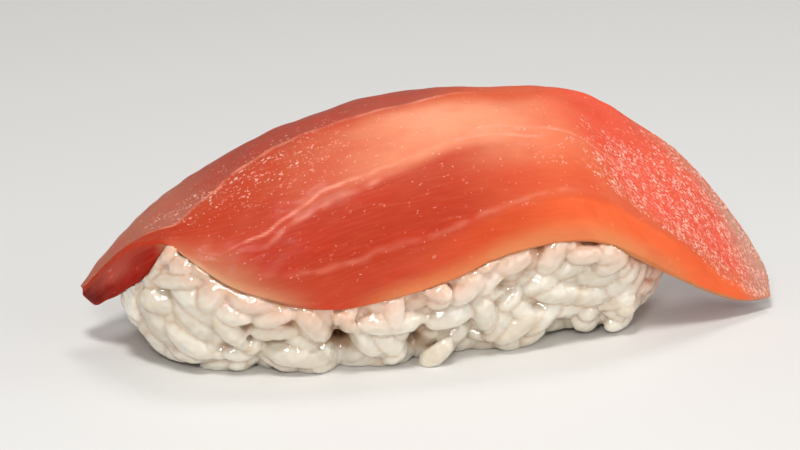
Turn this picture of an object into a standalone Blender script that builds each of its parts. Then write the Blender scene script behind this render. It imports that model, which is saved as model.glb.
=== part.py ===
"""Tuna nigiri: a slice of raw tuna draped over a pressed ball of rice.

Frame: metres, +Z up. The origin is the middle of the flat face that the rice rests on.
+X runs along the slice, and -Y is the side towards which the slice hangs lower.
The stations below are in millimetres.
"""

import math

import bmesh
import bpy
import numpy as np
from mathutils import Vector
from mathutils.bvhtree import BVHTree

MM = 0.001

# ---- the slice of tuna --------------------------------------------------------------
SLICE_THICK = 4.6  # thickness of the slice away from its edges
TIP_LEFT = -34.4
TIP_RIGHT = 41.9
SLICE_COLUMNS = 66
SLICE_ROWS = 17
ARC_NEAR = math.radians(66)  # how far the near flank has turned down at its edge
ARC_FAR = math.radians(50)  # and the far flank
CROWN_SHARE = 0.27  # share of the rows that lies behind the crown line
END_CUT = (17.0, 26.0)  # the right end cut passes from behind the crown to its front between these two x
END_CROWN_SHARE = 0.05  # beyond it the far edge runs along the crown line
END_TURN = math.radians(32)  # and the slice is already tilted forwards there
NOTCH = -26.7  # where the cut face runs out the slice is thin from its edge a long way in
LEFT_CUT = (-28.2, -26.4)  # left of the first x the near edge is a cut face that stands upright
BEVEL_SHARE = 0.84  # rows past this share form the cut side of the near edge

# Each station gives x, then y and z of one line that runs along the slice.
CROWN_LINE = (
    (-34.4, 4.2, 6.7), (-31.3, 2.4, 11.0), (-27.7, 1.4, 14.5), (-22.0, 1.0, 18.6),
    (-14.0, 0.5, 22.5), (-5.0, 0.5, 25.3), (4.0, 0.8, 26.6), (11.5, 1.2, 26.1),
    (18.2, 1.8, 25.8), (22.4, 2.4, 24.5), (28.4, 2.4, 20.6), (33.6, 1.8, 16.6),
    (38.2, 0.0, 11.0), (41.0, -2.6, 6.2), (41.9, -4.6, 3.3),
)
FAR_LINE = (
    (-34.4, 4.8, 6.5), (-30.5, 6.2, 10.4), (-24.0, 8.2, 14.8), (-14.0, 9.4, 18.6),
    (0.0, 10.2, 21.5), (10.0, 9.8, 22.0), (15.0, 8.2, 23.0), (19.0, 5.6, 24.2),
    (22.4, 3.5, 24.1), (25.4, 2.9, 22.7), (28.4, 2.6, 20.7), (33.6, 1.9, 16.7),
    (38.2, 0.1, 11.1), (41.0, -2.5, 6.3), (41.9, -4.5, 3.4),
)
BEVEL_LINE = (
    (-34.4, 3.7, 6.6), (-32.2, 1.0, 10.3), (-30.4, -1.6, 13.0), (-28.5, -4.2, 14.4),
    (-26.9, -6.2, 14.8), (-25.0, -8.8, 14.1), (-22.0, -11.0, 12.6), (-16.6, -12.9, 11.1),
    (-10.7, -13.8, 11.2), (-3.2, -13.6, 12.6), (3.6, -13.0, 14.6), (10.0, -12.4, 16.8),
    (16.0, -11.9, 17.6), (20.5, -11.4, 16.4), (24.7, -10.7, 13.8), (30.9, -9.5, 9.3),
    (36.5, -7.7, 4.9), (40.1, -6.0, 3.2), (41.9, -4.9, 3.2),
)
NEAR_LINE = (
    (-34.4, 3.5, 6.4), (-32.2, 0.7, 10.1), (-30.4, -1.9, 12.8), (-28.5, -4.5, 14.2),
    (-26.9, -6.5, 14.6), (-25.0, -9.4, 13.6), (-22.0, -11.7, 11.6), (-16.6, -13.4, 9.5),
    (-10.7, -14.4, 8.6), (-3.4, -14.5, 9.4), (2.1, -14.3, 10.6), (7.8, -13.9, 12.6),
    (13.5, -13.4, 13.4), (19.3, -13.0, 13.0), (24.2, -12.1, 10.5), (29.4, -10.7, 7.1),
    (34.9, -8.9, 3.9), (39.1, -6.8, 2.2), (41.9, -5.2, 2.8),
)
# Share of the full thickness along the crown, where the slice ends in thin tips.
BODY_THICKNESS = (
    (-34.4, 0.15), (-33.4, 0.5), (-31.0, 0.85), (-26.0, 1.0), (32.0, 1.0), (38.0, 0.7), (41.9, 0.3),
)
# Share of it along the near edge: a full cut face on the left, then the fringe, then the bevel's foot.
EDGE_THICKNESS = (
    (-34.4, 0.1), (-33.9, 0.38), (-33.4, 0.64), (-32.2, 0.85), (-31.2, 0.98), (-30.2, 1.0), (-29.4, 0.93),
    (-28.5, 0.7), (-27.7, 0.36), (-26.9, 0.08), (-25.5, 0.1), (-12.0, 0.14), (0.0, 0.22),
    (36.0, 0.28), (41.9, 0.2),
)

# ---- the rice -----------------------------------------------------------------------
RICE_HALF_LENGTH = 30.2
RICE_HALF_WIDTH = 12.6
RICE_WAIST = 8.0  # height at which the ball is widest
RICE_TOP = 23.5  # height it would have with nothing on it
RICE_SINK = 4.2  # how far its round underside would reach below the flat base
PLAN_POWER_LEFT = 2.9  # 2 is an ellipse seen from above, more is squarer
PLAN_POWER_RIGHT = 2.9
SHOULDER_POWER = 2.2  # the same for the upper half seen from the front
SECTION_POWER = 2.4
RICE_RINGS = 56
RICE_SEGMENTS = 44
GRAIN_LONG = 3.1  # half length of a cooked grain
GRAIN_WIDE = 1.6  # half width
GRAIN_PROUD = 1.1  # how far a grain stands out of the ball
GRAINS_ROUND = 15
GRAINS_ALONG = 17
CLEARANCE = 0.45  # gap kept between the rice and the slice
PRESS_STEP = 0.985  # each press moves what touches the slice this much nearer the ball's axis
MOST_PRESSES = 60
SEED = 7


def line_at(line, x):
    """Smooth values of a line at x: a cubic through its stations, with slopes from their neighbours."""
    table = np.array(line, float)
    at, values = table[:, 0], table[:, 1:]
    slopes = np.gradient(values, at, axis=0)
    x = np.clip(x, at[0], at[-1])
    i = np.clip(np.searchsorted(at, x) - 1, 0, len(at) - 2)
    step = (at[i + 1] - at[i])[:, None]
    t = ((x - at[i]) / step[:, 0])[:, None]
    return (
        (1 + 2 * t) * (1 - t) ** 2 * values[i]
        + t * t * (3 - 2 * t) * values[i + 1]
        + t * (1 - t) ** 2 * step * slopes[i]
        - t * t * (1 - t) * step * slopes[i + 1]
    )


def rise(low, high, x):
    """0 below low and 1 above high, with a smooth passage between."""
    t = np.clip((x - low) / (high - low), 0, 1)
    return t * t * (3 - 2 * t)


def arc(start, end, share, first, last):
    """Points (y, z) from the crown to a flank, on an arc that is turned down by first there and by last here."""
    angle = first + share * (last - first)
    across = (np.sin(angle) - np.sin(first)) / (np.sin(last) - np.sin(first))
    down = (np.cos(first) - np.cos(angle)) / (np.cos(first) - np.cos(last))
    return start + (end - start) * np.column_stack([across, down])


def slice_surface(along, over):
    """Upper face of the slice. along is 0 at the left tip and 1 at the right, over is 0 behind and 1 in front."""
    x = TIP_LEFT + (TIP_RIGHT - TIP_LEFT) * along
    crown, far = line_at(CROWN_LINE, x), line_at(FAR_LINE, x)
    bevel, near = line_at(BEVEL_LINE, x), line_at(NEAR_LINE, x)
    ended = rise(*END_CUT, x)
    top = CROWN_SHARE + (END_CROWN_SHARE - CROWN_SHARE) * ended
    behind = np.clip(1 - over / top, 0, 1)
    before = np.clip((over - top) / (BEVEL_SHARE - top), 0, 1)
    side = np.clip((over - BEVEL_SHARE) / (1 - BEVEL_SHARE), 0, 1)[:, None]
    points = np.where(
        (over < top)[:, None],
        arc(crown, far, behind, np.zeros_like(x), ARC_FAR),
        arc(crown, bevel, before, END_TURN * ended, ARC_NEAR),
    )
    points = np.where(side > 0, bevel + (near - bevel) * side, points)
    return np.column_stack([x, points])


def slice_thickness(along, over):
    """Share of the full thickness: thinner at both tips and towards the near and the far edge."""
    x = TIP_LEFT + (TIP_RIGHT - TIP_LEFT) * along
    body = line_at(BODY_THICKNESS, x)[:, 0]
    edge = line_at(EDGE_THICKNESS, x)[:, 0]
    notch = np.exp(-((x - NOTCH) / 2.6) ** 2)
    start = 0.62 - 0.45 * notch
    near = np.clip((over - start) / (1 - start), 0, 1) ** (1.6 - 0.9 * notch)
    far = np.clip(1 - over / 0.12, 0, 1) ** 2
    return (body + (edge - body) * near) * (1 - 0.35 * far)


def material(name, colour, roughness):
    made = bpy.data.materials.new(name)
    made.use_nodes = True
    shader = made.node_tree.nodes["Principled BSDF"]
    shader.inputs["Base Color"].default_value = (*colour, 1)
    shader.inputs["Roughness"].default_value = roughness
    shader.inputs["Metallic"].default_value = 0
    return made


def placed(name, bm, parts, finish):
    mesh = bpy.data.meshes.new(name)
    bm.to_mesh(mesh)
    bm.free()
    mesh.shade_smooth()
    mesh.materials.append(finish)
    made = bpy.data.objects.new(name, mesh)
    parts.objects.link(made)
    return made


def slice_inward(along, over):
    """Unit vectors from the upper face towards the lower one: square to the face, but at the left end,
    where the flesh was cut through, turned to point straight down along the cut."""
    step = 0.002
    well_in = np.clip(along, 0.02, 0.98)
    ahead = slice_surface(well_in + step, over) - slice_surface(well_in - step, over)
    forward = slice_surface(well_in, np.minimum(over + step, 1)) - slice_surface(well_in, np.maximum(over - step, 0))
    square = np.cross(forward, ahead)
    square /= np.linalg.norm(square, axis=1)[:, None]
    x = TIP_LEFT + (TIP_RIGHT - TIP_LEFT) * along
    cut = ((1 - rise(*LEFT_CUT, x)) * rise(0.45, 0.9, over))[:, None]
    inward = -square * (1 - cut) - np.array((0, 0, 1)) * cut
    return inward / np.linalg.norm(inward, axis=1)[:, None]


def tuna_slice(parts):
    """Two draped grids, the upper and the lower face, joined by a rim all round."""
    columns, rows = SLICE_COLUMNS, SLICE_ROWS
    along, over = (g.ravel() for g in np.meshgrid(
        np.linspace(0, 1, columns), np.linspace(0, 1, rows), indexing="ij"))
    upper = slice_surface(along, over)
    lower = upper + slice_inward(along, over) * (SLICE_THICK * slice_thickness(along, over))[:, None]
    index = np.arange(columns * rows).reshape(columns, rows)
    quads = np.stack([index[:-1, :-1], index[:-1, 1:], index[1:, 1:], index[1:, :-1]], axis=-1).reshape(-1, 4)
    edge = np.concatenate([index[:-1, 0], index[-1, :-1], index[:0:-1, -1], index[0, :0:-1]])
    after = np.roll(edge, -1)
    rim = np.column_stack([edge, after, after + columns * rows, edge + columns * rows])
    bm = bmesh.new()
    verts = [bm.verts.new(point) for point in np.vstack([upper, lower]) * MM]
    for face in np.vstack([quads, quads[:, ::-1] + columns * rows, rim]):
        bm.faces.new([verts[corner] for corner in face])
    bmesh.ops.recalc_face_normals(bm, faces=bm.faces)
    return placed("tuna_slice", bm, parts, material("tuna", (0.62, 0.11, 0.06), 0.3))


def ball_surface(directions):
    """Points of the smooth rice ball in the given directions: a superellipsoid with its own depth above and below."""
    x, y, z = directions.T
    x = np.clip(x, -1, 1)
    turn = np.arctan2(z, y)
    ring_y, ring_z = np.cos(turn), np.sin(turn)
    squared = (np.abs(ring_y) ** SECTION_POWER + np.abs(ring_z) ** SECTION_POWER) ** (-1 / SECTION_POWER)
    plan = np.where(x < 0, PLAN_POWER_LEFT, PLAN_POWER_RIGHT)
    reach = np.abs(x) ** (2 / plan)
    across = (1 - reach ** plan) ** (1 / plan)
    shoulder = (1 - reach ** SHOULDER_POWER) ** (1 / SHOULDER_POWER)
    height = np.where(z > 0, (RICE_TOP - RICE_WAIST) * shoulder, (RICE_WAIST + RICE_SINK) * across)
    return np.column_stack([
        RICE_HALF_LENGTH * np.sign(x) * reach,
        RICE_HALF_WIDTH * across * ring_y * squared,
        RICE_WAIST + height * ring_z * squared,
    ])


def grain_relief(points, centres, turns):
    """How far the grains lift the ball's surface: each is a low cap, long one way, and the highest wins."""
    away = points[:, None, :] - centres[None, :, :]
    long_way = np.abs(np.einsum("ijk,jk->ij", away, turns)) / GRAIN_LONG
    wide_way = np.sqrt(np.maximum((away ** 2).sum(axis=2) - (long_way * GRAIN_LONG) ** 2, 0)) / GRAIN_WIDE
    cap = np.sqrt(np.clip(1 - long_way ** 2 - wide_way ** 2, 0, None))
    return GRAIN_PROUD * cap.max(axis=1)


def swollen(cover):
    """A search tree of the slice, swollen by the clearance."""
    mesh = cover.evaluated_get(bpy.context.evaluated_depsgraph_get()).to_mesh()
    points = [v.co + v.normal * CLEARANCE * MM for v in mesh.vertices]
    return BVHTree.FromPolygons(points, [tuple(p.vertices) for p in mesh.polygons])


def pressed(points, axis, faces, tree):
    """The points with each face that meets the tree drawn towards the axis, step by step, until none does."""
    for _ in range(MOST_PRESSES):
        met = {pair[0] for pair in BVHTree.FromPolygons(points.tolist(), faces).overlap(tree)}
        if not met:
            break
        moved = sorted({corner for face in met for corner in faces[face]})
        points[moved] = axis[moved] + (points[moved] - axis[moved]) * PRESS_STEP
    return points


def grain_places():
    """Centres on the ball and unit directions of the grains, in loose rings."""
    rng = np.random.default_rng(SEED)
    rows, columns = np.meshgrid(np.arange(GRAINS_ALONG), np.arange(GRAINS_ROUND), indexing="ij")
    level = (rows.ravel() + 0.5 + rng.uniform(-0.3, 0.3, rows.size)) / GRAINS_ALONG * 2 - 1
    turn = (columns.ravel() + rng.uniform(-0.35, 0.35, rows.size)) / GRAINS_ROUND * 2 * math.pi
    girth = np.sqrt(1 - level ** 2)
    centres = ball_surface(np.column_stack([level, girth * np.cos(turn), girth * np.sin(turn)]))
    ways = rng.normal(size=centres.shape) * (1.0, 0.7, 0.5)
    return centres, ways / np.linalg.norm(ways, axis=1)[:, None]


def rice_ball(parts, cover):
    """A sphere shaped into the pressed ball, roughened by grains, kept clear of the slice, cut level below."""
    bm = bmesh.new()
    bmesh.ops.create_uvsphere(bm, u_segments=RICE_SEGMENTS, v_segments=RICE_RINGS, radius=1)
    points = ball_surface(np.array([v.co for v in bm.verts])[:, [2, 0, 1]])
    axis = np.column_stack([points[:, 0] * 0.8, np.zeros(len(points)), np.full(len(points), RICE_WAIST)])
    outward = points - axis
    reach = np.linalg.norm(outward, axis=1)
    outward /= reach[:, None]
    reach += grain_relief(points, *grain_places()) - GRAIN_PROUD * 0.5

    tree = swollen(cover)
    for index in range(len(points)):
        hit = tree.ray_cast(Vector(axis[index] * MM), Vector(outward[index]))[3]
        if hit is not None:
            reach[index] = min(reach[index], hit / MM)
    axis = axis * MM
    points = axis + outward * reach[:, None] * MM
    points = pressed(points, axis, [tuple(v.index for v in f.verts) for f in bm.faces], tree)
    for vert, point in zip(bm.verts, points):
        vert.co = (point[0], point[1], max(point[2], 0))
    bmesh.ops.recalc_face_normals(bm, faces=bm.faces)
    return placed("rice_ball", bm, parts, material("rice", (0.78, 0.68, 0.55), 0.35))


def main():
    for thing in list(bpy.data.objects):
        bpy.data.objects.remove(thing, do_unlink=True)
    parts = bpy.data.collections.new("tuna_nigiri")
    bpy.context.scene.collection.children.link(parts)
    cover = tuna_slice(parts)
    bpy.context.view_layer.update()
    rice_ball(parts, cover)


main()
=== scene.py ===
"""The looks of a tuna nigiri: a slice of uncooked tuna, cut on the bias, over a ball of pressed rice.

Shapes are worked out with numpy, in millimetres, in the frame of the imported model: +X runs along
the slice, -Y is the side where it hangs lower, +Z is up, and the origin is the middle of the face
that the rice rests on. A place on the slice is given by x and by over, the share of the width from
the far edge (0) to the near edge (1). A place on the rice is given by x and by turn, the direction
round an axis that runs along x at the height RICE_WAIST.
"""

import math

import bpy
import numpy as np
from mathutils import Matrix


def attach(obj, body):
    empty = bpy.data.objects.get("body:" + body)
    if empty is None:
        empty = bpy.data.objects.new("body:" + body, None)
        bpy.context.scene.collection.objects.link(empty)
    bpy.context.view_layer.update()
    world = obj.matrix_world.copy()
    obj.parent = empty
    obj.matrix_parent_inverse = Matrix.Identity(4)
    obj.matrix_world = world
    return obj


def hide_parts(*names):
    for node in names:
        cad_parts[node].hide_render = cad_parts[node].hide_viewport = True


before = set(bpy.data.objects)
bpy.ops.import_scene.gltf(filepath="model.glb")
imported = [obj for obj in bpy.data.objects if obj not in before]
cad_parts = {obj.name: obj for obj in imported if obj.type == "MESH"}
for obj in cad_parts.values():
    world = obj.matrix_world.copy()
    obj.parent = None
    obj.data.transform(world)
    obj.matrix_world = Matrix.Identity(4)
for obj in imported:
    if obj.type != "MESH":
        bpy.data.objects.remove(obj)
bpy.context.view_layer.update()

MM = 0.001  # metres in a millimetre
ROUND = 2 * math.pi

# ---- the slice: lines that run along it, each station giving x, then y and z ---------
TIP_LEFT = -34.4
TIP_RIGHT = 41.9
CROWN_SHARE = 0.27  # share of the width behind the crown line
END_CUT = (17.0, 26.0)  # between these two x the right end cut comes forward to the crown
END_CROWN_SHARE = 0.05  # the share behind the crown line there
END_TURN = math.radians(32)  # slope of the face at the crown there; it is level elsewhere
LEFT_CUT = (-28.2, -26.4)  # left of the first x the near edge is a cut face that stands upright
SHADED_CUT = (-28.2, -26.6)  # left of the first x that cut face is a deep red, its own red darkened by painted shade
THIN_EDGE = (-26.9, -25.4, -19, -11)  # between the middle two x the near edge is thin, over rice
SHEER_EDGE = (-27.4, -25.8, -19, -11)  # there it is also see-through
FRINGE = (-27.5, -25.5, -19, -11)  # and takes the colour of the rice below it
NOTCH = (-26.7, 2.6)  # middle and width of the place where the cut face runs out
ARC_NEAR = math.radians(66)  # slope that the face comes to at the bevel line
ARC_FAR = math.radians(50)  # and at the far line
BEVEL_SHARE = 0.84  # past this share lies the cut side of the near edge
CROWN_LINE = (
    (-34.4, 4.2, 6.7), (-31.3, 2.4, 11.0), (-27.7, 1.4, 14.5), (-22.0, 1.0, 18.6),
    (-14.0, 0.5, 23.0), (-5.0, 0.5, 25.7), (4.0, 0.8, 26.7), (11.5, 1.2, 26.1),
    (18.2, 1.8, 25.8), (22.4, 2.4, 24.5), (28.4, 2.4, 20.6), (33.6, 1.8, 16.6),
    (38.2, 0.0, 11.0), (41.0, -2.6, 6.4), (41.9, -4.1, 4.4),
)
FAR_LINE = (
    (-34.4, 4.8, 6.5), (-30.5, 6.2, 10.4), (-24.0, 8.2, 14.8), (-14.0, 9.4, 18.6),
    (0.0, 10.2, 21.5), (10.0, 9.8, 22.0), (15.0, 8.2, 23.0), (19.0, 5.6, 24.2),
    (22.4, 3.5, 24.1), (25.4, 2.9, 22.7), (28.4, 2.6, 20.7), (33.6, 1.9, 16.7),
    (38.2, 0.1, 11.1), (41.0, -2.5, 6.5), (41.9, -4.0, 4.5),
)
BEVEL_LINE = (
    (-34.4, 3.7, 6.6), (-32.2, 1.0, 10.3), (-30.4, -1.6, 13.0), (-28.5, -4.2, 14.4),
    (-26.9, -6.2, 14.8), (-25.0, -8.8, 14.1), (-22.0, -11.0, 12.6), (-16.6, -12.9, 11.1),
    (-10.7, -13.8, 11.2), (-3.2, -13.6, 12.6), (3.6, -13.0, 14.6), (10.0, -12.4, 16.8),
    (16.0, -11.9, 17.6), (20.5, -11.4, 16.4), (24.7, -10.7, 13.8), (30.9, -9.5, 9.3),
    (36.5, -7.7, 4.7), (40.1, -6.4, 2.6), (41.9, -5.6, 2.3),
)
NEAR_LINE = (
    (-34.4, 3.5, 6.4), (-32.2, 0.7, 10.1), (-30.4, -1.9, 12.8), (-28.5, -4.5, 14.2),
    (-26.9, -6.5, 14.6), (-25.0, -9.4, 13.6), (-22.0, -11.7, 11.6), (-16.6, -13.4, 9.5),
    (-10.7, -14.4, 8.6), (-3.4, -14.5, 9.4), (2.1, -14.3, 10.6), (7.8, -13.9, 12.6),
    (13.5, -13.4, 13.4), (19.3, -13.0, 13.0), (24.2, -12.1, 10.5), (29.4, -10.7, 7.1),
    (34.9, -8.9, 3.9), (39.1, -7.1, 2.0), (41.9, -6.0, 1.7),
)
# Thickness: the most in millimetres, then x and the share of it in the body and at the near edge
SLICE_THICK = 4.6
BODY_THICKNESS = (
    (-34.4, 0.15), (-33.4, 0.5), (-31.0, 0.85), (-26.0, 1.0), (32.0, 1.0), (38.0, 0.7),
    (41.9, 0.3),
)
EDGE_THICKNESS = (
    (-34.4, 0.1), (-33.9, 0.38), (-33.4, 0.64), (-32.2, 0.85), (-31.2, 0.98), (-30.2, 1.0),
    (-29.4, 0.93), (-28.5, 0.7), (-27.7, 0.36), (-26.9, 0.07), (-25.5, 0.04), (-12.0, 0.06),
    (0.0, 0.14), (36.0, 0.28), (41.9, 0.2),
)
NEAR_THINNING = (0.62, 1.6)  # the share of the width where it starts, and its power
NOTCH_THINNING = (0.45, 0.9)  # how much less both are at the notch
FAR_THINNING = (0.12, 0.35)  # the share of the width that it takes up, and how much it takes off
RIM_BOW = 0.16  # how far a rim bows out, as a share of its height
SLICE_ROWS = (420, 170, 9, 40)  # sections, then points on the face, on each rim and below

# ---- pale seams between the muscles: x and share of the width ------------------------
SEAM_UPPER = (
    (-28.5, 0.53), (-25.2, 0.52), (-23.7, 0.46), (-20.6, 0.40), (-16.7, 0.35), (-11.5, 0.34),
    (-3.7, 0.335), (2.8, 0.325), (8.0, 0.28),
)
SEAM_MAIN = (
    (-21.9, 0.755), (-20.0, 0.70), (-17.1, 0.67), (-13.1, 0.615), (-10.2, 0.59),
    (-3.4, 0.572), (2.0, 0.555), (6.0, 0.542), (8.0, 0.54), (14.0, 0.57),
)
SEAM_RIGHT = ((8.5, 0.50), (13.5, 0.525), (16.2, 0.55), (20.0, 0.56), (24.0, 0.54))
SEAM_BRANCH = ((-17.0, 0.71), (-12.7, 0.638), (-9.9, 0.625), (-7.2, 0.612), (-2.0, 0.60))
SEAM_LOWER = (
    (-15.0, 0.80), (-10.5, 0.80), (-4.3, 0.79), (1.5, 0.80), (7.0, 0.80), (12.0, 0.80),
    (18.0, 0.80),
)
SEAM_FADE = 3  # millimetres over which a seam's relief fades at its ends
# Lower bound of the painted glints, partly pale specks of fat, on the right end: x and share of the width
GLINT_FLECK_BOUND = ((14.0, 0.62), (20.0, 0.74), (26.0, 0.78), (33.0, 0.84), (41.9, 0.99))

# ---- the rice ------------------------------------------------------------------------
RICE_HALF_LENGTH = 30.2
RICE_HALF_WIDTH = 12.6
RICE_WAIST = 8.0  # height of the axis, where the ball is widest
RICE_TOP = 23.5
RICE_SINK = 4.2  # how far below the table the ball's curve would close
EDGE_SWELL = 1.3  # how far the rice swells out below the slice's near edge, at least
MOST_SWELL = 2.6  # and at most, as a multiple of that
SWELL_ALONG = (-29.5, -27.5, 20, 27)  # x between which it swells
SWELL_BELOW = (0.6, 3.2)  # how far below the edge it swells most, and the width of that bell
# Powers of the superellipses: the plan, the upper and the lower outline, and each section
PLAN_POWER = 2.9
SHOULDER_POWER = 2.2
BASE_POWER = 2.35
SECTION_POWER = 2.4
# x, and the share by which the front of the base is drawn in there
UNDERCUT = (
    (-30.0, -0.06), (-27.0, -0.03), (-24.8, -0.07), (-23.4, -0.06), (-21.5, -0.05), (-19.5, 0.0),
    (-17.6, 0.09), (-15.0, -0.02), (-13.0, -0.05), (-11.5, -0.08), (-9.2, 0.08), (-7.0, -0.02),
    (-3.0, -0.02), (-1.2, 0.05), (0.8, 0.0), (4.4, 0.10), (7.0, 0.09), (9.5, 0.01), (12.8, 0.04),
    (15.3, 0.14), (17.6, 0.15), (18.9, 0.03), (21.0, 0.12), (22.6, -0.06), (24.0, -0.10),
    (25.4, 0.03), (27.2, 0.06), (30.0, 0.08),
)
# Grains of the front that are told apart: middle x and z, heading in degrees, half length,
# half width, and how far each stands out of the even outline
FRONT_GRAINS = (
    (-27.0, 15.0, -70, 1.9, 1.0, 0.1), (-26.0, 13.0, 8, 1.7, 1.0, 0.2), (-28.6, 11.4, 36, 1.9, 1.2, 0.0),
    (-26.4, 11.2, 4, 2.9, 0.9, 0.5), (-19.3, 9.4, -6, 2.2, 1.2, 0.2), (-24.4, 8.5, -34, 3.9, 1.9, 0.4),
    (-21.3, 5.8, -51, 3.0, 1.3, 0.7), (-16.8, 7.5, 19, 2.6, 1.1, 0.3), (-16.8, 5.4, 8, 2.6, 1.1, 0.5),
    (-14.0, 2.2, -6, 3.6, 1.6, 0.7), (-18.5, 3.6, 23, 1.3, 1.0, 0.6), (-19.9, 2.4, -6, 1.9, 1.0, 0.3),
    (-29.4, 8.6, -100, 2.4, 1.4, 0.0), (-28.5, 5.8, -43, 3.9, 1.9, 0.2), (-25.5, 3.6, -30, 3.4, 1.6, 0.3),
    (-24.8, 6.6, -46, 3.4, 1.9, 0.2), (-22.3, 2.2, 6, 1.7, 1.0, -0.2), (-12.7, 6.2, -62, 3.1, 1.4, 0.3),
    (-9.8, 1.8, -46, 2.4, 1.1, 0.5), (-9.1, 6.2, -57, 2.2, 1.0, 0.6), (-7.0, 3.6, -51, 3.4, 1.15, 0.8),
    (-3.9, 2.9, -34, 2.9, 1.2, 0.5), (-8.2, 1.2, 27, 1.7, 0.9, 0.2), (-3.9, 5.9, -8, 3.9, 1.55, 1.0),
    (-2.7, 1.3, 23, 1.8, 1.1, 0.6), (2.8, 5.6, 9, 3.0, 1.5, 0.8), (1.3, 7.9, 3, 1.5, 1.0, 0.5),
    (6.6, 5.4, -74, 2.8, 1.35, 0.9), (3.9, 2.8, 34, 1.9, 1.3, 0.6), (1.3, 1.6, 56, 2.6, 1.25, 1.7),
    (4.6, 9.2, 49, 2.7, 1.6, 0.6), (7.0, 9.5, 46, 2.2, 1.5, 0.4), (9.7, 6.7, 50, 1.7, 1.0, 0.2),
    (7.2, 1.9, -11, 1.9, 0.9, 0.2), (10.6, 3.1, 40, 3.0, 1.5, 0.6), (13.8, 3.7, 44, 2.8, 1.5, 0.7),
    (12.4, 3.7, 8, 2.8, 1.5, 0.4), (9.7, 11.3, 16, 2.9, 1.5, 0.2), (13.4, 8.4, 28, 2.5, 1.4, 0.3),
    (15.4, 6.8, -12, 3.4, 1.35, 0.5), (19.0, 5.8, -16, 2.9, 1.3, 0.5), (15.9, 9.6, 11, 3.2, 1.3, 0.1),
    (21.6, 10.0, 23, 2.4, 1.4, 0.5), (24.1, 7.9, 37, 2.3, 1.3, 0.3), (26.2, 8.8, 43, 1.8, 1.1, 0.2),
    (22.8, 6.5, 19, 2.8, 1.3, 0.2), (22.0, 4.4, 7, 2.7, 1.1, 0.4), (17.2, 3.2, -38, 1.8, 1.0, 0.3),
    (19.5, 3.1, -36, 1.8, 1.0, 0.4), (22.0, 3.0, -35, 2.0, 1.1, 0.3),
)
# Grains laid last, over gaps that the seeded ones leave: the same six values
LAST_GRAINS = ((20.0, 8.2, -4, 3.0, 1.7, 0.2), (23.6, 5.2, 20, 2.6, 1.4, 0.2))
# Hollows between the grains of the front: middle x and z, half width, half height, depth
HOLLOWS = (
    (-8.9, 3.3, 0.9, 1.5, 3.4), (-9.9, 5.6, 0.5, 1.5, 1.1), (-0.9, 2.2, 0.9, 1.1, 1.8),
    (8.3, 8.6, 0.8, 0.7, 1.2),
)
# Seeded grains, outer layer and fill: how many, how far apart, how much deeper they lie, and the
# distance that they keep from the middle lines of the front grains
LAYERS = ((820, 2.85, 0.0, 1.25), (700, 2.9, 1.0, 0.0))
SEEDED_SIZES = ((2.2, 3.0), (1.12, 1.45), (1.0, 1.3))  # half length, half width, half height
GRAIN_SEED = 11
GRAIN_DEPTH = 0.92  # half height of a front grain, as a share of its half width
END_REACH = 0.8  # share of a grain's half length that stays inside both ends of the ball
LEAST_HEIGHT = (0.8, 0.75)  # of a front and of a seeded grain, as a share of its half size
UNDER_BALL = (0.6, 7)  # no grain is laid lower than the first and nearer to the axis than the second
BEHIND_DROP = 1.2  # how much deeper grains lie behind the slice's far edge
BEHIND_FADE = (-3.5, -0.5)  # heights over the far line between which that drop sets in
FRONT_POINTS = 181  # directions in which the front is searched for a height
SPREAD_ROUNDS = 50
SPREAD_PUSH = 0.18  # share of each overlap that one round takes away
SPREAD_WIDEST = 14  # a place is kept by the chance of its radius over this, for an even spread
CORE_DEEP = 2.6  # how deep below the outline the core lies
CORE_GRID = (180, 240)  # sections, and points in each
CORE_SHARE = 0.96  # share of the half length that the core takes up
CORE_RISE = 0.93  # share of that depth which it gives up below the slice's thin edge
CORE_FRONT = (-28.5, -27.0, -16, -10)  # x between which it does so
CORE_BASE = 0.6  # height of its flat base
MELT_VOXEL = 0.26  # millimetres
DROPPED_SHARE = 0.9  # share of the unseen faces that is taken away

# ---- the rice's outline below the slice ------------------------------------------------
TURNS = 721  # directions round the axis, from -180 to 180 degrees
OUTLINE_ROWS = (480, 90, 1, 90)  # as SLICE_ROWS, for the slice that the outline is held under
OPEN = 99.0  # a reading where no slice lies above the rice
COVERED = 90.0  # readings under this have the slice above them
PRESSED = 0.85  # share of the thin edge's thickness that the rice presses up into
THIN_GAP = 0.08  # millimetres by which the rice stays lower under the thin edge
EDGE_SLOPE = 1.6  # how fast the bound beyond the thin edge recedes, as a share per radian
EDGE_ROOM = 0.07  # millimetres that the bound leaves at the edge itself
BURIED_STEPS = 18  # rounds by which the buried part is drawn in from the slice's outline
RICE_GAP = -0.15  # millimetres left between rice and slice: under 0, as they stick together


# ---- shared arithmetic ---------------------------------------------------------------
def rise(low, high, x):
    """0 below low, 1 above high, and the cubic 3t^2 - 2t^3 between them."""
    t = np.clip((x - low) / (high - low), 0, 1)
    return t * t * (3 - 2 * t)


def between(places, x):
    """0 outside the outer two of four places, 1 between the inner two, with a cubic on each flank."""
    return rise(places[0], places[1], x) * (1 - rise(places[2], places[3], x))


def bump(x, middle, width):
    """A bell: e to the minus square of the distance from the middle over the width."""
    return np.exp(-(((x - middle) / width) ** 2))


def line_at(line, x):
    """Values of a line at x: a cubic through its stations, with slopes from their neighbours."""
    table = np.array(line, float)
    at, values = table[:, 0], table[:, 1:]
    slopes = np.gradient(values, at, axis=0)
    x = np.clip(x, at[0], at[-1])
    i = np.clip(np.searchsorted(at, x) - 1, 0, len(at) - 2)
    step = (at[i + 1] - at[i])[..., None]
    t = (x - at[i])[..., None] / step
    return (
        (1 + 2 * t) * (1 - t) ** 2 * values[i]
        + t * t * (3 - 2 * t) * values[i + 1]
        + t * (1 - t) ** 2 * step * slopes[i]
        - t * t * (1 - t) * step * slopes[i + 1]
    )


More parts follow.
